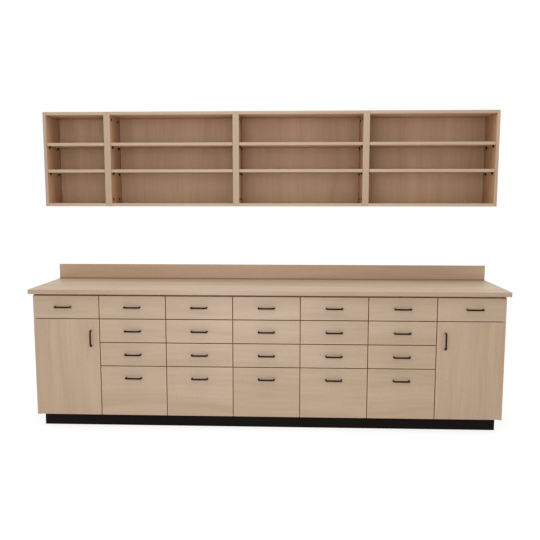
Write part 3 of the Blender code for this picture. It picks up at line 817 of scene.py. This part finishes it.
for name in DRAWERS:
    low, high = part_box(name)
    left, right = bay_faces(column_of(name))
    make_front(name, (low.x, FACE_Y, low.z), (high.x, FRONT_BACK_Y, high.z))
    box_low = Vector((left + SLIDE_SPACE, FRONT_BACK_Y, low.z + BOX_LIFT))
    box_high = Vector((right - SLIDE_SPACE, BOX_BACK_Y, high.z - BOX_DROP))
    make_box(name, box_low, box_high)
    make_angles(name, box_low, box_high)
print("drawers:", len(DRAWERS), "fronts, boxes and pairs of angles")

# %% [markdown]
# ## Doors
#
# The two end cupboards have plain doors with upright grain, from a sheet of their own. Each turns on two
# pins, so its board has a blind hole in the top and bottom edge. Holes are cut with a Boolean, because a
# bevelled board has no convenient ring of points there, and a nylon bush lines each one.

# %% Make the doors
DOORS = ("door_left", "door_right")
PIN_CLEARANCE = 0.0005
BUSH = 0.0012
HOLE = PIN_RADIUS + PIN_CLEARANCE
HOLE_WALL = HOLE + BUSH
HOLE_DEPTH = PIN_LENGTH + PIN_RADIUS


def bored(part, cutters):
    """Cut closed shapes out of a part with a Boolean modifier."""
    objects = []
    for shape in (part, *cutters):
        bmesh.ops.recalc_face_normals(shape, faces=shape.faces)
        mesh = bpy.data.meshes.new("shape")
        shape.to_mesh(mesh)
        shape.free()
        objects.append(placed("shape", mesh))
    for cutter in objects[1:]:
        modifier = objects[0].modifiers.new("bore", 'BOOLEAN')
        modifier.operation = 'DIFFERENCE'
        modifier.object = cutter
    graph = bpy.context.evaluated_depsgraph_get()
    cut = bmesh.new()
    cut.from_mesh(objects[0].evaluated_get(graph).to_mesh())
    for thing in objects:
        bpy.data.objects.remove(thing, do_unlink=True)
    return cut


for door in DOORS:
    low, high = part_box(door)
    axis = door_axes[door]
    holes = []
    for edge in (low.z, high.z):
        holes.append(upright(round_bar(edge - HOLE_DEPTH, edge + HOLE_DEPTH, HOLE_WALL), axis))
    piece = Piece(door + "_board")
    leaf = bored(board(low, high, FRONT_EASE, FRONT_STEPS), holes)
    add_front(piece, leaf, door_maple, Z)
    rim = HOLE_WALL - HAIR
    bottom_bush = (low.z + HAIR, low.z + HOLE_DEPTH - HAIR)
    top_bush = (high.z - HOLE_DEPTH + HAIR, high.z - HAIR)
    for start, end in (bottom_bush, top_bush):
        ring = [(start, HOLE), (start, rim), (end, rim), (end, HOLE), (start, HOLE)]
        piece.add(upright(ring, axis), nylon, smooth=True)
    piece.fit(door, [door])
print("doors bored for pins of", round(2 * PIN_RADIUS * MM), "mm")

# %% [markdown]
# ## Wire pulls
#
# Every front has the same pull: a black wire bent twice. A swept circle is what a curve with a bevel
# is, so the pull starts as a curve, which is turned into one mesh that all the pulls share. Where each
# sits is read from the frame. On a drawer it is the part of the CAD solid in front of the face.

# %% Bend the wire
PULL_BEND = 0.011
WIRE_ROUND = 6
pull_low, pull_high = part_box("pull_door_left")
WIRE = pull_high.x - pull_low.x
PULL_SPAN = pull_high.z - pull_low.z - WIRE
PULL_REACH = FACE_Y - pull_low.y - WIRE / 2


def bent_wire():
    """Feet, bends and bar of a pull, lying along X with its feet at y 0."""
    half = PULL_SPAN / 2
    bend_y = PULL_BEND - PULL_REACH
    points = [(-half, 0.0)]
    points += arc(-half + PULL_BEND, bend_y, PULL_BEND, math.pi)
    points += arc(half - PULL_BEND, bend_y, PULL_BEND, 3 * QUARTER)
    points.append((half, 0.0))
    curve = bpy.data.curves.new("wire_pull", 'CURVE')
    curve.dimensions = '3D'
    curve.bevel_depth = WIRE / 2
    curve.bevel_resolution = WIRE_ROUND
    curve.use_fill_caps = True
    spline = curve.splines.new('POLY')
    spline.points.add(len(points) - 1)
    for point, (x, y) in zip(spline.points, points):
        point.co = (x, y, 0.0, 1.0)
    curve.materials.append(black_wire.material)
    carrier = placed("wire_pull", curve)
    mesh = bpy.data.meshes.new_from_object(carrier)
    bpy.data.objects.remove(carrier, do_unlink=True)
    mesh.set_sharp_from_angle(angle=SHARP_ANGLE)
    return mesh


wire = bent_wire()
print("pulls of", round(WIRE * MM, 1), "mm wire on", round(PULL_SPAN * MM), "mm centres")

# %% Fit the pulls
def fit_pull(name, body, node, middle, stands=False):
    """Set a pull on its front, level or upright."""
    pull = placed(name, wire)
    pull.location = middle
    pull.rotation_euler = (0.0, QUARTER if stands else 0.0, 0.0)
    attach(pull, body)
    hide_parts(node)


for name in DRAWERS:
    solid = [point.co for point in frame["nodes"][name].data.vertices]
    points = [point for point in solid if point.y < FACE_Y - WIRE / 2]
    middle_x = (min(point.x for point in points) + max(point.x for point in points)) / 2
    middle_z = (min(point.z for point in points) + max(point.z for point in points)) / 2
    fit_pull(name + "_pull", name, name, (middle_x, FACE_Y, middle_z))
for door in DOORS:
    low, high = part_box("pull_" + door)
    middle = ((low.x + high.x) / 2, FACE_Y, (low.z + high.z) / 2)
    fit_pull(door + "_wire_pull", door, "pull_" + door, middle, True)
print("pulls fitted:", len(DRAWERS) + len(DOORS))

# %% [markdown]
# ## Wall boxes
#
# Four open boxes hang side by side. Each has two sides, a top, a bottom, a thin back let in from behind
# and a hanging rail for the wall screws. The boxes are bolted together through their doubled sides, which
# leaves a hair line between them. A bolt's head is a turned profile: a washer, a rounded head and a socket.
# The shelves lie on small black wedge clips. The sides run past the top and bottom, so their front bands
# read as long uprights. What faces the room at the ends, above and below has the same laminate as the
# drawer fronts.

# %% Clips and bolts
CLIP_INSET = 0.050
CLIP_WIDTH = 0.014
CLIP_HEIGHT = 0.017
CLIP_REACH = 0.0098
CLIP_STEEL = 0.0025
CLIP_EASE = 0.0004
BOLT_FRONT_INSET = 0.046
BOLT_BACK_INSET = 0.060
BOLT_DROP = 0.027
BOLT_HEAD = 0.008
BOLT_WASHER = 0.0105
WASHER_TOP = 0.0009
HEAD_TOP = 0.0028
SOCKET_FLOOR = 0.0008
BOLT_PROFILE = [(-HAIR, 0.0), (-HAIR, BOLT_WASHER), (0.0007, BOLT_WASHER), (WASHER_TOP, BOLT_WASHER - HAIR)]
BOLT_PROFILE += [(WASHER_TOP, BOLT_HEAD), (0.0020, BOLT_HEAD), (0.0026, 0.0074)]
BOLT_PROFILE += [(HEAD_TOP, 0.0066), (HEAD_TOP, 0.0034), (SOCKET_FLOOR, 0.0030), (SOCKET_FLOOR, 0.0)]


def add_clip(piece, face, inward, y, underside):
    """Wedge clip: a leg on the side that widens to a pad under the shelf."""
    top = underside - HAIR
    foot = top - CLIP_HEIGHT
    leg, lip = face + inward * CLIP_STEEL, face + inward * CLIP_REACH
    outline = [(face, foot), (leg, foot), (lip, top - CLIP_STEEL), (lip, top), (face, top)]
    wedge = bar(outline, Y, y - CLIP_WIDTH / 2, y + CLIP_WIDTH / 2)
    piece.add(eased(wedge, wedge.edges[:], CLIP_EASE, EASE_STEPS), dark_steel)


print("clips of", round(CLIP_WIDTH * MM), "mm, bolt heads of", round(2 * BOLT_HEAD * MM), "mm")

# %% Make the boxes
BOX_BOARD = 0.020
SHELF_GAP = 0.001
RAIL_HEIGHT = 0.080
CASE_BACK = 0.006
BACK_RECESS = 0.016
BACK_REVEAL = 0.002
JOINT_HAIR = 0.0004
BOXES = sorted(nodes_named("wall_box_"))
RUN_LEFT, RUN_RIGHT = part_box(BOXES[0])[0].x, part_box(BOXES[-1])[1].x


def box_inside(number):
    """Inner faces of a box, from its shelf, which has a hair of room at each end."""
    low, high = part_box(f"shelf_{number}_lower")
    return low.x - SHELF_GAP, high.x + SHELF_GAP


def add_fittings(piece, number, low, back, floor, ceiling):
    """Shelf clips on both sides, and bolt heads where a neighbour is joined."""
    left, right = box_inside(number)
    for level in ("lower", "upper"):
        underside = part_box(f"shelf_{number}_{level}")[0].z
        for y in (low.y + CLIP_INSET, back - CLIP_INSET):
            add_clip(piece, left, 1.0, y, underside)
            add_clip(piece, right, -1.0, y, underside)
    joined = [(left, 1.0)] if number > 1 else []
    joined += [(right, -1.0)] if number < len(BOXES) else []
    for face, inward in joined:
        for y in (low.y + BOLT_FRONT_INSET, back - BOLT_BACK_INSET):
            for z in (floor + BOLT_DROP, ceiling - BOLT_DROP):
                piece.add(turned(BOLT_PROFILE, (face, y, z), inward), dark_steel, smooth=True)


for number, name in enumerate(BOXES, start=1):
    low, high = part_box(name)
    left, right = box_inside(number)
    floor, ceiling = low.z + BOX_BOARD, high.z - BOX_BOARD
    back = high.y - BACK_RECESS - CASE_BACK
    piece = Piece(name + "_boards")
    left_side = (max(left - BOX_BOARD - JOINT_HAIR, RUN_LEFT), left, -1.0)
    right_side = (right, min(right + BOX_BOARD + JOINT_HAIR, RUN_RIGHT), 1.0)
    # The inner faces of the sides are darker as painted shade inside the boxes, and their front bands are
    # darker than the level ones as painted shade.
    for side_low, side_high, facing in (left_side, right_side):
        panel = board((side_low, low.y, low.z), (side_high, high.y, high.z))
        piece.add(panel, side_maple_painted_shade, Z, upright_band_painted_shade, outside=(X, facing))
    for under, facing in ((low.z, -1.0), (ceiling, 1.0)):
        panel = board((left, low.y, under), (right, high.y, under + BOX_BOARD))
        piece.add(panel, case_maple, X, band_maple, outside=(Z, facing))
    panel_low = (left + BACK_REVEAL, back, floor)
    panel_high = (right - BACK_REVEAL, back + CASE_BACK / 2, ceiling)
    piece.add(board(panel_low, panel_high, HAIR), back_maple, Z)
    backer_low, backer_high = (left, back + CASE_BACK / 2, floor), (right, back + CASE_BACK, ceiling)
    piece.add(board(backer_low, backer_high), backer, Z)
    rail_low = (left, high.y - BACK_RECESS, ceiling - RAIL_HEIGHT)
    piece.add(board(rail_low, (right, high.y, ceiling)), case_maple, X, band_maple)
    add_fittings(piece, number, low, back, floor, ceiling)
    piece.fit(CABINET, [name])
print("wall boxes:", len(BOXES))

# %% [markdown]
# ## Shelves
#
# Two loose shelves lie in each box. They are plain boards with the grain along them and a banded front
# edge, a touch rounder than the case boards because hands pass over it.

# %% Make the shelves
SHELF_EASE = 0.0025
SHELF_STEPS = 3
SHELVES = sorted(nodes_named("shelf_"))
for name in SHELVES:
    piece = Piece(name + "_board")
    piece.add(board(*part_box(name), SHELF_EASE, SHELF_STEPS), case_maple, X, band_maple)
    piece.fit(CABINET, [name])
print("shelves:", len(SHELVES))

# %% [markdown]
# ## Studio
#
# The cabinet is shown in an even white room: soft light from everywhere and a pale floor that throws it
# back up. The background has to be pure white without pouring more light on the wood, so the world has
# two strengths. Rays that light the wood see the soft one, and rays from the camera, and those that
# mirror in metal, see plain white. The floor does the same: for the camera it is mostly a white glow with
# a share of real shading, so that the shadow under the plinth stays.

# %% World and floor
WHITE = (1.0, 1.0, 1.0, 1.0)
ROOM_LIGHT = 0.656
FLOOR_SIZE = 60.0
FLOOR_TONE = 0.96
FLOOR_SHADE = 0.30
FLOOR_GLOW = 0.83


def seen_by_eye(nodes):
    """1 for rays that show the background itself: camera, glossy and transmission rays."""
    total = nodes.node("ShaderNodeLightPath", output="Is Camera Ray")
    for name in ("Is Glossy Ray", "Is Transmission Ray"):
        other = nodes.node("ShaderNodeLightPath", output=name)
        total = nodes.node("ShaderNodeMath", {"operation": 'MAXIMUM'}, {0: total, 1: other})
    return total


def make_world():
    world = bpy.data.worlds.new("white_room")
    world.use_nodes = True
    nodes = Nodes(world.node_tree)
    nodes.tree.nodes.clear()
    soft = nodes.node("ShaderNodeBackground", None, {"Color": WHITE, "Strength": ROOM_LIGHT})
    white = nodes.node("ShaderNodeBackground", None, {"Color": WHITE, "Strength": 1.0})
    either = nodes.node("ShaderNodeMixShader", None, {0: seen_by_eye(nodes), 1: soft, 2: white})
    nodes.node("ShaderNodeOutputWorld", None, {"Surface": either})
    bpy.context.scene.world = world


def grey(tone):
    return (tone, tone, tone, 1.0)


def floor_material():
    """Pale for the light that falls on it, almost white for the eye."""
    material = bpy.data.materials.new("pale_floor")
    material.use_nodes = True
    nodes = Nodes(material.node_tree)
    nodes.tree.nodes.clear()
    shaded = nodes.node("ShaderNodeBsdfDiffuse", None, {"Color": grey(FLOOR_TONE)})
    faint = nodes.node("ShaderNodeBsdfDiffuse", None, {"Color": grey(FLOOR_TONE * FLOOR_SHADE)})
    glow = nodes.node("ShaderNodeEmission", None, {"Strength": FLOOR_GLOW})
    seen = nodes.node("ShaderNodeAddShader", None, {0: faint, 1: glow})
    blend = nodes.node("ShaderNodeMixShader", None, {0: seen_by_eye(nodes), 1: shaded, 2: seen})
    nodes.node("ShaderNodeOutputMaterial", None, {"Surface": blend})
    return material


def make_floor():
    mesh = bpy.data.meshes.new("studio_floor")
    half = FLOOR_SIZE / 2
    corners = [(-half, -half, 0.0), (half, -half, 0.0), (half, half, 0.0), (-half, half, 0.0)]
    mesh.from_pydata(corners, [], [(0, 1, 2, 3)])
    mesh.materials.append(floor_material())
    floor = placed("studio_floor", mesh)
    floor.location.z = -HAIR


make_world()
make_floor()
bpy.context.scene.view_settings.view_transform = 'Standard'
print("studio: room light", ROOM_LIGHT, "floor tone", FLOOR_TONE)

# %% [markdown]
# Two soft lamps add a little direction, one in front and one above. A third stands low in front and
# gives the middle fronts a soft sheen. An ordinary lamp there would also light the wood itself, so this
# one is seen by glossy rays alone. It stays below the worktop's level, because a higher one made a
# white glare on the worktop when seen from behind.

# %% Lamps
LAMPS = {
    "front_softbox": {"power": 16.0, "size": 1.8, "place": (-0.40, -3.1, 2.0), "target": (-0.20, 0.0, 1.0)},
    "top_softbox": {"power": 30.0, "size": 3.0, "place": (0.0, -0.9, 4.2), "target": (0.0, -0.2, 0.9)},
    "sheen_softbox": {"power": 33.0, "size": 1.0, "place": (-0.40, -3.2, 0.38), "target": (-0.1, 0.0, 0.5)},
}
GLOSS_LAMPS = ("sheen_softbox",)


def make_lamp(name, power, size, place, target):
    light = bpy.data.lights.new(name, 'AREA')
    light.energy = power
    light.shape = 'DISK'
    light.size = size
    lamp = placed(name, light)
    lamp.location = place
    lamp.visible_diffuse = name not in GLOSS_LAMPS
    lamp.rotation_euler = (Vector(target) - Vector(place)).to_track_quat('-Z', 'Y').to_euler()


for name, settings in LAMPS.items():
    make_lamp(name, **settings)
print("lamps:", ", ".join(LAMPS))

# %% [markdown]
# ## Camera
#
# The camera stands in front of the middle of the run, above the worktop, and looks slightly down. Its
# place and lens were found by fitting the edges of the boards to the picture, which also gave the small
# shift of the frame.

# %% Place the camera
CAMERA_PLACE = (0.15900, -4.33736, 1.51653)
CAMERA_PITCH = -0.12337
CAMERA_TURN = 0.04119
CAMERA_LENS = 43.4987
CAMERA_SENSOR = 36.0
CAMERA_SHIFT = (0.00915, 0.01082)
camera_data = bpy.data.cameras.new("front_view")
camera_data.sensor_width = CAMERA_SENSOR
camera_data.lens = CAMERA_LENS
camera_data.shift_x, camera_data.shift_y = CAMERA_SHIFT
camera = placed("front_view", camera_data)
camera.location = CAMERA_PLACE
camera.rotation_euler = (QUARTER + CAMERA_PITCH, 0.0, CAMERA_TURN)
bpy.context.scene.camera = camera
print("camera at", CAMERA_PLACE, "lens", CAMERA_LENS)
